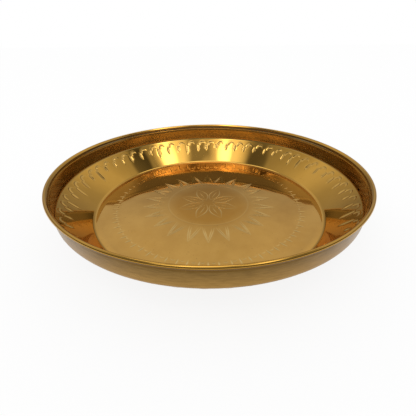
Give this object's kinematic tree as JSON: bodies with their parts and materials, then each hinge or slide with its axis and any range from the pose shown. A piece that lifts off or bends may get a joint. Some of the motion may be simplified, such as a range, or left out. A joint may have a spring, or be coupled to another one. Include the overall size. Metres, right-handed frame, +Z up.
{
  "type": "thali plate",
  "caption": "Round brass thali with a flat engraved floor, a steep fluted flank and an upright wall under a rolled, wired edge",
  "frame": {"origin": "centre of the flat underside that the plate rests on", "axes": "Z is up and is the dish's axis of symmetry; X points right and Y points away from the viewer of the picture"},
  "size_m": [0.305, 0.305, 0.05],
  "materials": {
    "dish_brass": "polished, with fine scratches and a light warm tarnish",
    "wire_iron": "dull drawn iron, hidden inside the rolled edge"
  },
  "bodies": {
    "root": {"dish": "dish_brass", "rim_wire": "wire_iron"}
  },
  "joints": []
}
